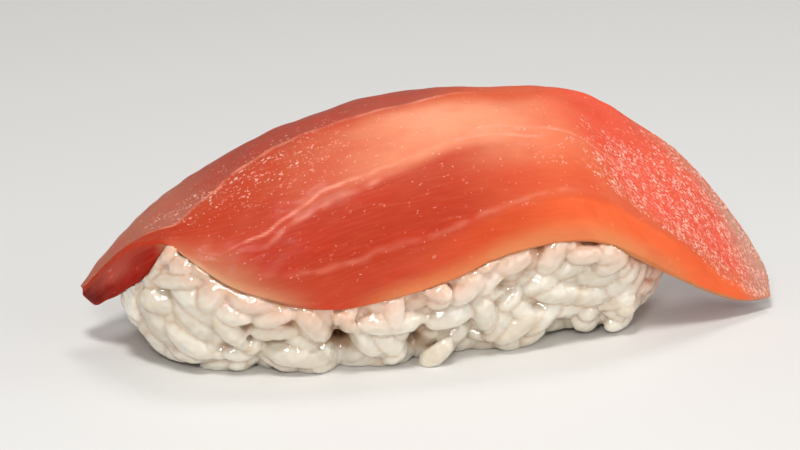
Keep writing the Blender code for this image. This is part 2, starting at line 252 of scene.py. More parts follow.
def ripples(points, wavelength, seed, waves=14):
    """Smooth noise, about -1 to 1: sine waves of nearly one length, in seeded directions, added up."""
    rng = np.random.default_rng(seed)
    ways = rng.normal(size=(waves, points.shape[-1]))
    pace = ROUND / wavelength * rng.uniform(0.6, 1.5, waves)
    ways *= (pace / np.linalg.norm(ways, axis=1))[:, None]
    phases = rng.uniform(0, ROUND, waves)
    return np.sin(points @ ways.T + phases).sum(axis=-1) * math.sqrt(2 / waves) * 0.6


def unit(vectors):
    """The vectors at length 1."""
    return vectors / np.maximum(np.linalg.norm(vectors, axis=-1, keepdims=True), 1e-12)


def polar(points):
    """Direction round the rice's axis, and distance from it."""
    y, z = points[..., 1], points[..., 2] - RICE_WAIST
    return np.arctan2(z, y), np.hypot(y, z)


def seen(red, green, blue):
    """Linear colour from the usual 0 to 255 values."""
    c = np.array((red, green, blue)) / 255
    return np.where(c <= 0.04045, c / 12.92, ((c + 0.055) / 1.055) ** 2.4)


def mixed(colour, other, share):
    """The first colour with that share of the other in it, point by point."""
    return colour + (other - colour) * share[..., None]


# ---- meshes --------------------------------------------------------------------------
def tube_faces(columns, rows):
    """Quads and triangles of a closed tube: columns of closed loops with that many points each, in
    order of x, each loop from +y over the top to -y and back below. They are wound to face
    outwards. The point after all loops closes the first one, and the next closes the last."""
    column, row = np.meshgrid(np.arange(columns - 1), np.arange(rows), indexing="ij")
    here, up = column * rows + row, column * rows + (row + 1) % rows
    quads = np.stack([here, up, up + rows, here + rows], axis=-1).reshape(-1, 4)
    ring = np.arange(rows)
    following = (ring + 1) % rows
    base = (columns - 1) * rows
    first = np.column_stack([np.full(rows, columns * rows), following, ring])
    last = np.column_stack([np.full(rows, columns * rows + 1), base + ring, base + following])
    return quads, np.vstack([first, last])


def mesh_object(name, points, faces):
    """A smooth mesh object at the origin, from points in millimetres and arrays of faces."""
    mesh = bpy.data.meshes.new(name)
    mesh.from_pydata((points * MM).tolist(), [], sum((part.tolist() for part in faces), []))
    mesh.shade_smooth()
    made = bpy.data.objects.new(name, mesh)
    bpy.context.scene.collection.objects.link(made)
    return made


def settled(made, name):
    """The object with its modifiers worked into its mesh."""
    depsgraph = bpy.context.evaluated_depsgraph_get()
    mesh = bpy.data.meshes.new_from_object(made.evaluated_get(depsgraph))
    bpy.data.objects.remove(made, do_unlink=True)
    mesh.name = name
    mesh.shade_smooth()
    ready = bpy.data.objects.new(name, mesh)
    bpy.context.scene.collection.objects.link(ready)
    return ready


def vertex_values(made, name):
    """One vector for each point of the mesh: its place (co) or its normal."""
    flat = np.empty(len(made.data.vertices) * 3, np.float32)
    made.data.vertices.foreach_get(name, flat)
    return flat.reshape(-1, 3)


def store_values(made, name, values):
    """Stores a number or a colour for each point of the mesh."""
    if values.ndim == 2:
        attribute = made.data.attributes.new(name, "FLOAT_COLOR", "POINT")
        flat = np.column_stack([values, np.ones(len(values))]).ravel()
        attribute.data.foreach_set("color", flat.astype(np.float32))
    else:
        attribute = made.data.attributes.new(name, "FLOAT", "POINT")
        attribute.data.foreach_set("value", values.astype(np.float32))


# ---- colours -------------------------------------------------------------------------
FLESH = seen(184, 70, 42)
FLESH_WARM = seen(210, 94, 58)
# deep red of the lower muscle, also carrying painted shade low on the face
FLESH_DEEP = seen(174, 50, 24)
FLESH_PINK = seen(158, 76, 63)
# paler flesh, partly painted light from above
FLESH_BRIGHT = seen(226, 146, 110)
FLESH_RED = seen(225, 85, 63)
BEVEL_ORANGE = seen(200, 78, 36)
# brighter orange on the right of the cut side: painted glow of light through the flesh
BEVEL_WARM = seen(228, 100, 52)
# painted glow of light through the thin near edge
EDGE_GLOW = seen(208, 134, 84)
# painted shade: the upright left cut's red, darkest at the tip
CUT_SHADE_RED = seen(150, 20, 5)
TIP_SHADE_RED = seen(104, 5, 1)
CUT_STREAK = seen(186, 92, 74)
SEAM_PALE = seen(238, 160, 134)
RIM_PALE = seen(188, 126, 102)
TIP_PALE = seen(176, 142, 122)
FAR_RIM = seen(204, 112, 92)
RICE_BLUSH = seen(196, 150, 112)
FIBRE_PALE = seen(246, 132, 100)
CLOUD_RED = seen(196, 44, 24)
# pale colour of painted wet glints, partly pale specks of fat
GLINT_FLECK_PALE = seen(252, 198, 180)
RICE_CREAM = seen(232, 225, 210)
RICE_GREYER = seen(212, 201, 182)
RICE_CLOUD = seen(212, 192, 162)
RICE_WHITE = seen(240, 234, 222)
# painted shade: tan where grains meet, tan and then brown in deep gaps
CREASE_SHADE_TAN = seen(190, 146, 98)
GAP_SHADE_TAN = seen(180, 134, 88)
GAP_SHADE_BROWN = seen(112, 66, 32)
# pink of a painted glow where light would come through the slice
SLICE_GLOW_PINK = seen(224, 162, 126)
FLOOR_PALE = seen(222, 220, 216)


# ---- the slice -----------------------------------------------------------------------
def arc(start, end, share, first, last):
    """Points (y, z) at a share of the way along an arc from start to end, which is turned down by
    the angle first at its start and by last at its end."""
    angle = first + share * (last - first)
    across = (np.sin(angle) - np.sin(first)) / (np.sin(last) - np.sin(first))
    down = (np.cos(first) - np.cos(angle)) / (np.cos(first) - np.cos(last))
    return start + (end - start) * np.stack([across, down], axis=-1)


def slice_face(x, over):
    """Smooth upper face: one arc from the crown line back to the far line, one forward to the bevel
    line, and a straight cut side from there to the near line."""
    crown, far = line_at(CROWN_LINE, x), line_at(FAR_LINE, x)
    bevel, near = line_at(BEVEL_LINE, x), line_at(NEAR_LINE, x)
    ended = rise(*END_CUT, x)
    top = CROWN_SHARE + (END_CROWN_SHARE - CROWN_SHARE) * ended
    behind = np.clip(1 - over / top, 0, 1)
    before = np.clip((over - top) / (BEVEL_SHARE - top), 0, 1)
    side = np.clip((over - BEVEL_SHARE) / (1 - BEVEL_SHARE), 0, 1)[..., None]
    points = np.where(
        (over < top)[..., None],
        arc(crown, far, behind, np.zeros_like(x), ARC_FAR),
        arc(crown, bevel, before, END_TURN * ended, ARC_NEAR),
    )
    points = np.where(side > 0, bevel + (near - bevel) * side, points)
    return np.concatenate([x[..., None], points], axis=-1)


def slice_thickness(x, over):
    """Thickness in millimetres: the body's, which turns into the near edge's by a power of the
    share past a start, and less at the far edge. At the notch this starts further in."""
    body = line_at(BODY_THICKNESS, x)[..., 0]
    edge = line_at(EDGE_THICKNESS, x)[..., 0]
    notch = bump(x, *NOTCH)
    start = NEAR_THINNING[0] - NOTCH_THINNING[0] * notch
    power = NEAR_THINNING[1] - NOTCH_THINNING[1] * notch
    near = np.clip((over - start) / (1 - start), 0, 1) ** power
    far = np.clip(1 - over / FAR_THINNING[0], 0, 1) ** 2
    return SLICE_THICK * (body + (edge - body) * near) * (1 - FAR_THINNING[1] * far)


def slice_outward(x, over):
    """Unit normals of the upper face: the cross product of a small step along and one across."""
    margin, step, sliver = 1.5, 0.15, 0.002
    x = np.clip(x, TIP_LEFT + margin, TIP_RIGHT - margin)
    ahead = slice_face(x + step, over) - slice_face(x - step, over)
    nearer, farther = np.minimum(over + sliver, 1), np.maximum(over - sliver, 0)
    return unit(np.cross(slice_face(x, nearer) - slice_face(x, farther), ahead))


def seam(x, over, line, width, fade):
    """How much of a pale seam lies here: a bell across the line, as wide as that share of the
    width, which fades over that many millimetres at both ends."""
    start, end = line[0][0], line[-1][0]
    middle = line_at(line, x)[..., 0]
    inside = rise(start - fade, start + fade, x) * rise(-end - fade, -end + fade, -x)
    return inside * bump(over, middle, width)


def glint_fleck_density(x, over):
    """How densely painted glints, partly pale specks of fat, lie: most on the right end above the bevel,
    some along the upper seam on the left, two small patches beside the end, and a few everywhere."""
    edge = line_at(GLINT_FLECK_BOUND, x)[..., 0]
    right = rise(17.0, 25.0, x + 6 * (over - 0.4)) * (1 - rise(edge - 0.03, edge + 0.02, over))
    high = rise(0.0, 1.0, (0.46 - 0.012 * (x - 18) - over) / 0.1)
    quiet = 1 - 0.75 * high * (1 - rise(27, 33, x))
    upper = 0.55 * bump(over, 0.42, 0.13) * between((-30, -26, -16, 2), x)
    patch = 0.5 * bump(x, 14.5, 2.2) * bump(over, 0.66, 0.055)
    patch = patch + 0.4 * bump(x, 18.0, 1.3) * bump(over, 0.60, 0.03)
    few = 0.07 * (1 - rise(0.80, 0.86, over))
    return np.clip(np.maximum.reduce([right * quiet, upper, patch, few]), 0, 1)


def slice_relief(points, x, over):
    """Height of the fine relief, in millimetres: slow waves, longer along the slice than across it,
    ridges on two seams with a step below the main one, and knobs where the painted glints lie. It
    fades out at both edges."""
    drawn_out = points * (1.0, 1.6, 1.6)
    slow = 0.09 * ripples(points, 11.0, seed=3) + 0.05 * ripples(drawn_out, 3.6, seed=4)
    main, upper = (seam(x, over, line, 0.008, SEAM_FADE) for line in (SEAM_MAIN, SEAM_UPPER))
    step = seam(x, over - 0.016, SEAM_MAIN, 0.012, SEAM_FADE)
    knobs = 0.05 * ripples(drawn_out * (0.7, 1, 1), 0.95, seed=5) * glint_fleck_density(x, over)
    inner = rise(0.0, 0.05, over) * rise(-1.0, -0.93, -over)
    return (slow + (0.035 * main + 0.03 * upper) - 0.04 * step + knobs) * inner


def slice_colours(points, x, over):
    """Colour of the upper face: fields that fade into each other along and across the slice."""
    upper = line_at(SEAM_UPPER, x)[..., 0]
    main = line_at(SEAM_MAIN, x)[..., 0]
    colour = mixed(np.broadcast_to(FLESH, points.shape), FLESH_WARM, rise(-8, 10, x))
    # a paler field high in the middle: partly the flesh's own tone, partly painted light from above
    colour = mixed(colour, FLESH_BRIGHT, bump(x, 4.5, 12) * between((0.31, 0.41, 0.58, 0.74), over))
    # deep red below the main seam and low on the left: partly the muscle's own colour, partly painted
    # shade on the lower face
    below = rise(main, main + 0.05, over) * (1 - rise(2, 16, x))
    colour = mixed(colour, FLESH_DEEP, 0.85 * below * (1 - 0.6 * rise(0.78, 0.86, over)))
    colour = mixed(colour, FLESH_DEEP, 0.5 * rise(-4, 0, -x - 16) * rise(0.45, 0.6, over))
    # the pink band above the upper seam, paler at its left end
    band = (1 - rise(upper - 0.02, upper + 0.02, over)) * (1 - rise(2, 14, x))
    colour = mixed(colour, FLESH_PINK, 0.85 * band)
    colour = mixed(colour, RIM_PALE, 0.5 * band * (1 - rise(-27, -18, x)))
    # the red right end with its pale rim
    end = rise(12, 24, x) * (1 - rise(0.42, 0.55, over - 0.25 * rise(16, 26, x)))
    colour = mixed(colour, FLESH_RED, 0.85 * end)
    rim = rise(24, 34, x) * (1 - rise(0.02, 0.34, over + 0.10 * ripples(points, 5.0, seed=8)))
    colour = mixed(colour, RIM_PALE, 0.6 * rim)
    # the orange cut side: partly its own colour, partly a painted glow of light through the flesh,
    # stronger to the right
    side = rise(BEVEL_SHARE - 0.035, BEVEL_SHARE + 0.01, over)
    colour = mixed(colour, BEVEL_ORANGE, side * rise(-3, 9, x))
    colour = mixed(colour, BEVEL_WARM, side * rise(8, 18, x))
    # both pale ends of the rim, a painted glow of light through the thin edge over the rice, and the
    # fringe that takes the rice's colour
    colour = mixed(colour, TIP_PALE, 0.85 * rise(36.0, 40.5, x + 3 * (0.5 - over)))
    colour = mixed(colour, FAR_RIM, rise(18, 28, x) * (1 - rise(0.01, 0.06, over)))
    glow = rise(0.89, 1.0, over) * between((-10, -2, 27, 33), x)
    colour = mixed(colour, EDGE_GLOW, 0.8 * glow)
    start = 0.79 - 0.17 * bump(x, -23.5, 5)
    fringe = np.clip((over - start) / (0.97 - start), 0, 1) ** 1.3
    fringe = fringe * between(FRINGE, x)
    colour = mixed(colour, RICE_BLUSH, 0.92 * fringe)
    broken = 0.65 + 0.45 * ripples(points, 2.4, seed=21)
    wander = 0.004 * ripples(points, 4.0, seed=22)
    for line, width, strength in (
        (SEAM_UPPER, 0.007, 0.6),
        (SEAM_MAIN, 0.0052, 0.9),
        (SEAM_RIGHT, 0.006, 0.6),
        (SEAM_BRANCH, 0.010, 0.35),
        (SEAM_LOWER, 0.008, 0.26),
    ):
        share = strength * broken * seam(x, over + wander, line, width, 2.5)
        colour = mixed(colour, SEAM_PALE, np.clip(share, 0, 1))
    return colour


def slice_sections(columns, face_rows, rim_rows, under_rows):
    """Closed sections of the slice along x: upper face, near rim, underside and far rim, each a row
    of points. The underside is the upper face moved inwards along its normals by the thickness, or
    straight down at the left cut, and each rim bows out by a sine."""
    x = TIP_LEFT + (TIP_RIGHT - TIP_LEFT) * np.linspace(0, 1, columns)
    grid_x, grid_over = np.meshgrid(x, np.linspace(0, 1, face_rows), indexing="ij")
    face = slice_face(grid_x, grid_over)
    normals = slice_outward(grid_x, grid_over)
    thick = slice_thickness(grid_x, grid_over)[..., None]
    cut = ((1 - rise(*LEFT_CUT, grid_x)) * rise(0.45, 0.9, grid_over))[..., None]
    under = face - unit(normals * (1 - cut) + np.array((0, 0, 1)) * cut) * thick
    face = face + normals * slice_relief(face, grid_x, grid_over)[..., None]
    under = under[:, np.linspace(face_rows - 1, 0, under_rows).round().astype(int)]
    share = (np.arange(rim_rows) + 1) / (rim_rows + 1)

    def rim(start, end, outward):
        height = np.linalg.norm(end - start, axis=-1)
        bow = (RIM_BOW * height)[:, None, None] * np.sin(math.pi * share)[None, :, None]
        straight = start[:, None] + (end - start)[:, None] * share[None, :, None]
        return straight + outward[:, None] * bow

    near = rim(face[:, -1], under[:, 0], unit(face[:, -1] - face[:, -4]))
    far = rim(under[:, -1], face[:, 0], unit(face[:, 0] - face[:, 3]))
    return grid_x, grid_over, (face, near, under, far)


def rim_colours(x, rows):
    """Colour of the near rim: over the rice a painted glow, taking the rice's colour further left, and on
    the left cut a red darkened by painted shade, with a pale streak.
    """
    shape = (len(x), 3)
    # painted glow along the foot of the rim, taking the rice's colour further left
    foot = mixed(np.broadcast_to(EDGE_GLOW, shape), RICE_BLUSH, 1 - rise(-16, -8, x))
    foot = mixed(foot, RIM_PALE, rise(37, 40.5, x))
    # where the left cut's red is darkened by painted shade
    cut_shade = 1 - rise(*SHADED_CUT, x)
    edge = mixed(mixed(foot, CUT_SHADE_RED, cut_shade), TIP_SHADE_RED, 1 - rise(-33.6, -31.0, x))
    down = (np.arange(rows) + 0.5) / rows
    streak = bump(x, -31.6, 1.5)[:, None] * bump(down, 0.25, 0.2)[None]
    streak = streak + 0.5 * (cut_shade[:, None] * bump(down, 0.0, 0.12))
    edge = np.broadcast_to(edge[:, None], (len(x), rows, 3))
    return mixed(edge, CUT_STREAK, np.clip(0.75 * streak, 0, 1))


def store_grain_map(made, sections, middle):
    """A map in millimetres, for the fibres: the length along the middle row of points, and the
    distance from that row round each section."""
    across = np.zeros(sections.shape[:2])
    across[:, 1:] = np.cumsum(np.linalg.norm(np.diff(sections, axis=1), axis=2), axis=1)
    across -= across[:, middle][:, None]
    steps = np.linalg.norm(np.diff(sections[:, middle], axis=0), axis=1)
    length = np.append(0, np.cumsum(steps))
    uv = np.stack([np.broadcast_to(length[:, None], across.shape), across], axis=-1)
    uv = uv.reshape(-1, 2)
    uv = np.vstack([uv, uv[:1], uv[-1:]])
    corners = np.empty(len(made.data.loops), np.int32)
    made.data.loops.foreach_get("vertex_index", corners)
    layer = made.data.uv_layers.new(name="grain")
    layer.data.foreach_set("uv", uv[corners].astype(np.float32).ravel())


def tuna_slice():
    """The slice as one closed tube of sections, with a point in the middle of each tip, and a
    colour, a density of painted glints and a cover (0 where it is see-through) for each point."""
    columns, face_rows, rim_rows, under_rows = SLICE_ROWS
    grid_x, grid_over, parts = slice_sections(*SLICE_ROWS)
    x = grid_x[:, 0]
    sections = np.concatenate(parts, axis=1)
    count = sections.shape[1]
    tips = np.array([sections[0].mean(axis=0), sections[-1].mean(axis=0)])
    points = np.vstack([sections.reshape(-1, 3), tips])
    made = mesh_object("tuna_slice_flesh", points, tube_faces(columns, count))

    face = slice(0, face_rows)
    near = slice(face_rows, face_rows + rim_rows)
    under = slice(near.stop, near.stop + under_rows)
    far = slice(under.stop, count)
    colour = np.empty((columns, count, 3))
    colour[:, face] = slice_colours(parts[0], grid_x, grid_over)
    colour[:, near] = rim_colours(x, rim_rows)
    colour[:, under] = FLESH_DEEP
    far_colour = mixed(np.broadcast_to(FLESH_RED, (columns, 3)), FAR_RIM, rise(20, 30, x))
    colour[:, far] = far_colour[:, None]
    store_values(made, "flesh", np.vstack([colour.reshape(-1, 3), TIP_SHADE_RED[None], RIM_PALE[None]]))

    # density of painted glints, partly pale specks of fat, on the face and the far rim
    glint_flecks = np.zeros((columns, count))
    glint_flecks[:, face] = glint_fleck_density(grid_x, grid_over)
    glint_flecks[:, far] = (0.5 * rise(22, 30, x))[:, None]
    store_values(made, "glint_flecks", np.append(glint_flecks.ravel(), [0, 0.5]))

    sheer = between(SHEER_EDGE, x)[:, None]
    inwards = np.linspace(1, 0, under_rows)[None]
    cover = np.ones((columns, count))
    cover[:, face] = 1 - sheer * rise(0.955, 1.0, grid_over)
    cover[:, near] = 1 - sheer
    cover[:, under] = 1 - sheer * rise(0.90, 0.98, inwards)
    store_values(made, "cover", np.append(cover.ravel(), [1, 1]))
    store_grain_map(made, sections, face_rows // 2)
    return made


# ---- the rice ------------------------------------------------------------------------
def ball_radius(x, turn):
    """Distance of the smooth ball's surface from its axis: a superellipse section, whose half width
    and two half heights follow superellipses along x, drawn in low in front by UNDERCUT."""
    share = np.clip(np.abs(x) / RICE_HALF_LENGTH, 0, 0.9995)
    across = (1 - share ** PLAN_POWER) ** (1 / PLAN_POWER)
    shoulder = (1 - share ** SHOULDER_POWER) ** (1 / SHOULDER_POWER)
    base = (1 - share ** BASE_POWER) ** (1 / BASE_POWER)
    above, below = (RICE_TOP - RICE_WAIST) * shoulder, (RICE_WAIST + RICE_SINK) * base
    wide = np.abs(np.cos(turn)) / (RICE_HALF_WIDTH * across)
    tall = np.abs(np.sin(turn)) / np.where(np.sin(turn) > 0, above, below)
    drawn = line_at(UNDERCUT, x)[..., 0]
    drawn = drawn * rise(0.1, 0.6, -np.sin(turn)) * rise(0.0, 0.3, -np.cos(turn))
    return (wide ** SECTION_POWER + tall ** SECTION_POWER) ** (-1 / SECTION_POWER) * (1 - drawn)


class Outline:
    """The rice's outer surface as a table of distances from its axis, over x and turn: the ball,
    swollen a little below the slice's near edge, and held under the slice where that is nearer."""

    def __init__(self, gap):
        grid_x, over, parts = slice_sections(*OUTLINE_ROWS)
        self.x = grid_x[:, 0]
        self.turn = np.linspace(-math.pi, math.pi, TURNS)
        self.thin = between(THIN_EDGE, self.x)
        edge = line_at(NEAR_LINE, self.x)
        self.edge_height = edge[:, 1:]
        self.edge_turn = np.arctan2(edge[:, 1] - RICE_WAIST, edge[:, 0])
        self.edge_away = np.hypot(edge[:, 0], edge[:, 1] - RICE_WAIST)
        free = self.swollen_ball()
        self.roof, lift = self.slice_above(parts, over, gap)
        self.buried = self.drawn_in(self.roof < COVERED).astype(float)
        self.roof = np.minimum(self.roof, self.bound_past_edge())
        self.table = np.minimum(free, self.roof)
        self.table += lift * (self.roof - self.table)

    def swollen_ball(self):
        """The ball, and a bell of height under the near edge, as much as the ball falls short of
        that edge, between the two bounds of the swelling."""
        free = ball_radius(self.x[:, None], self.turn[None])
        height = RICE_WAIST + free * np.sin(self.turn)
        short = self.edge_away - ball_radius(self.x, self.edge_turn)
        swell = np.clip(short, EDGE_SWELL, MOST_SWELL * EDGE_SWELL)
        swell = swell * between(SWELL_ALONG, self.x)
        front = rise(0.2, 0.6, -np.cos(self.turn))
        drop, width = SWELL_BELOW
        return free + bump(height, self.edge_height - drop, width) * swell[:, None] * front

    def slice_above(self, parts, over, gap):
        """Distance to the slice's underside, which is pressed up along the thin edge, and the share
        by which the rice follows it there, read for each section in order of direction."""
        face, _, under, _ = parts
        pressed = PRESSED * self.thin[:, None] * rise(0.86, 0.97, over[:, ::-1])
        under = under + (face[:, ::-1] - under) * pressed[..., None]
        turn, away = polar(under)
        roof = np.full((len(self.x), TURNS), OPEN)
        lift = np.zeros_like(roof)
        here = self.turn % ROUND
        for column, thin in enumerate(self.thin):
            order = np.argsort(turn[column] % ROUND)
            turns = (turn[column] % ROUND)[order]
            readings = away[column][order] - gap - THIN_GAP * thin
            follows = pressed[column][order] / PRESSED
            roof[column] = np.interp(here, turns, readings, left=OPEN, right=OPEN)
            lift[column] = np.interp(here, turns, follows, left=0, right=0)
        return roof, lift

    def drawn_in(self, inner):
        """The covered places that lie well inside the slice's outline."""
        for _ in range(BURIED_STEPS):
            inner[1:-1] = inner[1:-1] & inner[:-2] & inner[2:]
            inner = inner & np.roll(inner, 2, axis=1) & np.roll(inner, -2, axis=1)
        return inner

    def bound_past_edge(self):
        """A bound that recedes on both sides of the thin edge, so that no grain stands proud of it."""
        apart = np.abs((self.turn[None] - self.edge_turn[:, None] + math.pi) % ROUND - math.pi)
        slope = self.edge_away[:, None] * (1 + EDGE_SLOPE * apart) + EDGE_ROOM
        return slope + OPEN * (1 - self.thin[:, None])

    def cells(self, x, turn):
        """Row, column and the shares between them for places x and turn."""
        i = np.clip((x - self.x[0]) / (self.x[1] - self.x[0]), 0, len(self.x) - 1.001)
        j = ((turn + math.pi) % ROUND) / (self.turn[1] - self.turn[0])
        j = np.clip(j, 0, TURNS - 1.001)
        return i.astype(int), j.astype(int), i % 1, j % 1

    def look_up(self, table, x, turn):
        """Bilinear reading of a table at x and turn."""
        a, b, s, t = self.cells(x, turn)
        low = table[a, b] * (1 - t) + table[a, b + 1] * t
        high = table[a + 1, b] * (1 - t) + table[a + 1, b + 1] * t
        return low * (1 - s) + high * s

    def room(self, x, turn):
        """Distance from the axis to the slice's underside; at its outline, the least of the four
        readings round a place."""
        a, b, _, _ = self.cells(x, turn)
        roof = self.roof
        corners = np.stack([roof[a, b], roof[a + 1, b], roof[a, b + 1], roof[a + 1, b + 1]])
        inside = corners.max(axis=0) < COVERED
        return np.where(inside, self.look_up(roof, x, turn), corners.min(axis=0))

    def place(self, x, turn, deep):
        """Points at that depth below the surface."""
        away = np.maximum(self.look_up(self.table, x, turn) - deep, 0.1)
        return np.stack([x, away * np.cos(turn), RICE_WAIST + away * np.sin(turn)], axis=-1)

    def depth(self, points):
        """How deep below the surface each point lies, measured towards the axis."""
        turn, away = polar(points)
        return self.look_up(self.table, points[:, 0], turn) - away


def grain_form(rings=9, sides=9):
    """A unit grain along x: radius (1 - |t|^2.6)^0.5 at t from -1 to 1, blunter at one end, a little
    flat and bent by 1 - t^2, with a notch on top of that end."""
    t = np.sin(np.linspace(-math.pi / 2, math.pi / 2, rings + 2)[1:-1])[:, None]
    turn = (np.arange(sides) / sides * 2 * math.pi)[None]
    girth = (1 - np.abs(t) ** 2.6) ** 0.5 * (1 - 0.10 * t)
    y = girth * np.cos(turn)
    z = 0.86 * girth * np.sin(turn) + 0.16 * (1 - t ** 2)
    z = z - 0.22 * bump(t, 0.86, 0.2) * (np.sin(turn) > 0)
    points = np.stack([np.broadcast_to(t, y.shape), y, z], axis=-1).reshape(-1, 3)
    return np.vstack([points, (-1, 0, 0), (1, 0, 0)]), tube_faces(rings, sides)


def grain_mesh(centres, frames, sizes):
    """Points and faces of all grains: each is the unit grain times its size, in its frame."""
    form, faces = grain_form()
    scaled = form[None] * sizes[:, None]
    points = centres[:, None]
    for side, way in enumerate(frames):
        points = points + scaled[..., side:side + 1] * way[:, None]
    starts = np.arange(len(centres)) * len(form)
    every = [(part[None] + starts[:, None, None]).reshape(-1, part.shape[1]) for part in faces]
    return points.reshape(-1, 3), every


def core_mesh(outline):
    """The smooth core: the outline drawn in by a depth, less below the thin edge, and flat below."""
    columns, sides = CORE_GRID
    along = np.linspace(-math.pi / 2, math.pi / 2, columns + 2)[1:-1]
    x = RICE_HALF_LENGTH * CORE_SHARE * np.sin(along)
    turn = np.arange(sides) / sides * 2 * math.pi - math.pi
    grid_x, grid_turn = np.meshgrid(x, turn, indexing="ij")
    height = outline.place(grid_x, grid_turn, 0.0)[..., 2]
    edge = line_at(NEAR_LINE, grid_x)[..., 1]
    front = between(CORE_FRONT, grid_x) * (np.abs(grid_turn) > 2)
    close = bump(height, edge - 0.6, 2.0) * front
    points = outline.place(grid_x, grid_turn, CORE_DEEP * (1 - CORE_RISE * close))
    points[..., 2] = np.maximum(points[..., 2], CORE_BASE)
    ends = np.array([[x[0] - 0.3, 0, RICE_WAIST], [x[-1] + 0.3, 0, RICE_WAIST]])
    return np.vstack([points.reshape(-1, 3), ends]), tube_faces(columns, sides)


def spread(outline, count, gap, rng):
    """Places (x, turn) for the grains: seeded points, fewer where the ball is narrow, then pushed
    apart round after round until they lie evenly."""
    x = rng.uniform(-RICE_HALF_LENGTH, RICE_HALF_LENGTH, count * 2)
    turn = rng.uniform(-math.pi, math.pi, count * 2)
    keep = rng.uniform(0, SPREAD_WIDEST, count * 2) < ball_radius(x, turn)
    x, turn = x[keep][:count], turn[keep][:count]
    limit = RICE_HALF_LENGTH - 0.3
    for _ in range(SPREAD_ROUNDS):
        points = outline.place(x, turn, 0)
        away = points[:, None] - points[None]
        distance = np.linalg.norm(away, axis=-1) + np.eye(len(x)) * 99
        pushes = away / distance[..., None] * np.clip(gap - distance, 0, None)[..., None]
        points = points + pushes.sum(axis=1) * SPREAD_PUSH
        x = np.clip(points[:, 0], -limit, limit)
        turn = np.arctan2(points[:, 2] - RICE_WAIST, points[:, 1])
    return x, turn


def grain_frames(outline, x, turn, heading, tilt):
    """Three unit vectors for each grain: its length, its width and its outward side, which is the
    surface's normal, leant a little away from the middle of the ball."""
    step, sliver, lean = 0.4, 0.05, 0.35
    here = outline.place(x, turn, 0)
    ahead, astern = np.clip(x + step, -30, 30), np.clip(x - step, -30, 30)
    along = outline.place(ahead, turn, 0) - outline.place(astern, turn, 0)
    round_way = outline.place(x, turn + sliver, 0) - outline.place(x, turn - sliver, 0)
    out = unit(np.cross(unit(round_way), unit(along)))
    centre = np.stack([x * 0.8, np.zeros_like(x), np.full_like(x, RICE_WAIST)], axis=-1)
    out *= np.sign((out * (here - centre)).sum(axis=-1, keepdims=True))
    out = unit(out + lean * unit(here - centre))
    along = unit(along - out * (along * out).sum(axis=-1, keepdims=True))
    side = np.cross(out, along)
    length = along * np.cos(heading)[:, None] + side * np.sin(heading)[:, None]
    length = unit(length + out * np.sin(tilt)[:, None])
    width = unit(np.cross(out, length))
    return length, width, np.cross(length, width)


def segment_distance(points, centres, ways, halves):
    """Least distance from each point to any of the grains' middle lines."""
    away = points[:, None] - centres[None]
    along = np.clip((away * ways[None]).sum(axis=-1), -halves, halves)
    return np.linalg.norm(away - along[..., None] * ways[None], axis=-1).min(axis=1)


def front_turn(outline, x, z):
    """The direction in which the front of the outline at x has the height z."""
    turn = np.linspace(math.pi / 2, math.pi * 3 / 2, FRONT_POINTS)
    grid_x, grid_turn = np.meshgrid(x, turn, indexing="ij")
    height = outline.place(grid_x, grid_turn, 0.0)[..., 2]
    return turn[np.abs(height - z[:, None]).argmin(axis=1)]


def front_grains(outline, table):
    """The places on the outline of the front grains in a table, then their centres, three
    directions and half sizes: each lies along its heading, and stands out as far as it says."""
    x, z, heading, long, wide, proud = np.array(table, float).T
    turn = front_turn(outline, x, z)
    places = outline.place(x, turn, 0.0)
    out = grain_frames(outline, x, turn, np.zeros_like(x), np.zeros_like(x))[2]
    angle = np.radians(heading)
    ways = np.stack([np.cos(angle), np.zeros_like(x), np.sin(angle)], axis=-1)
    ways = unit(ways - out * (ways * out).sum(axis=-1, keepdims=True))
    centres = places + out * (proud - wide * GRAIN_DEPTH)[:, None]
    centres[:, 2] = np.maximum(centres[:, 2], wide * LEAST_HEIGHT[0])
    reach = END_REACH * np.abs(ways[:, 0]) * long
    centres[:, 0] = np.maximum(centres[:, 0], reach - RICE_HALF_LENGTH)
    sizes = np.column_stack([long, wide, wide * GRAIN_DEPTH])
    return places, (centres, ways, np.cross(out, ways), out, sizes)


def seeded_grains(outline, rng, layer, clear_of):
    """Centres, three directions and half sizes of one layer of seeded grains, without those that
    the slice hides, that lie under the ball, or that come too near to the front grains."""
    count, gap, below, clear = layer
    x, turn = spread(outline, count, gap, rng)
    surface = outline.place(x, turn, 0.0)
    hidden = outline.look_up(outline.buried, x, turn) > 0.5
    sunk = (surface[:, 2] < UNDER_BALL[0]) & (np.abs(surface[:, 1]) < UNDER_BALL[1])
    keep = ~(hidden | sunk | (segment_distance(surface, *clear_of) < clear))
    x, turn, surface = x[keep], turn[keep], surface[keep]
    count = len(x)
    size = np.column_stack([rng.uniform(*bounds, count) for bounds in SEEDED_SIZES])
    heading, tilt = rng.normal(0.1, 0.85, count), rng.normal(0, 0.2, count)
    frames = grain_frames(outline, x, turn, heading, tilt)
    past = surface[:, 2] - line_at(FAR_LINE, x)[:, 1]
    behind = BEHIND_DROP * rise(*BEHIND_FADE, past) * (surface[:, 1] > 0)
    centres = outline.place(x, turn, size[:, 2] * rng.uniform(0.5, 1.15, count) + below + behind)
    centres[:, 2] = np.maximum(centres[:, 2], size[:, 2] * LEAST_HEIGHT[1])
    reach = END_REACH * np.abs(frames[0][:, 0]) * size[:, 0]
    reach = reach + END_REACH * np.abs(frames[1][:, 0]) * size[:, 1]
    limit = RICE_HALF_LENGTH - reach
    centres[:, 0] = np.clip(centres[:, 0], -limit, limit)
    return (centres, *frames, size)


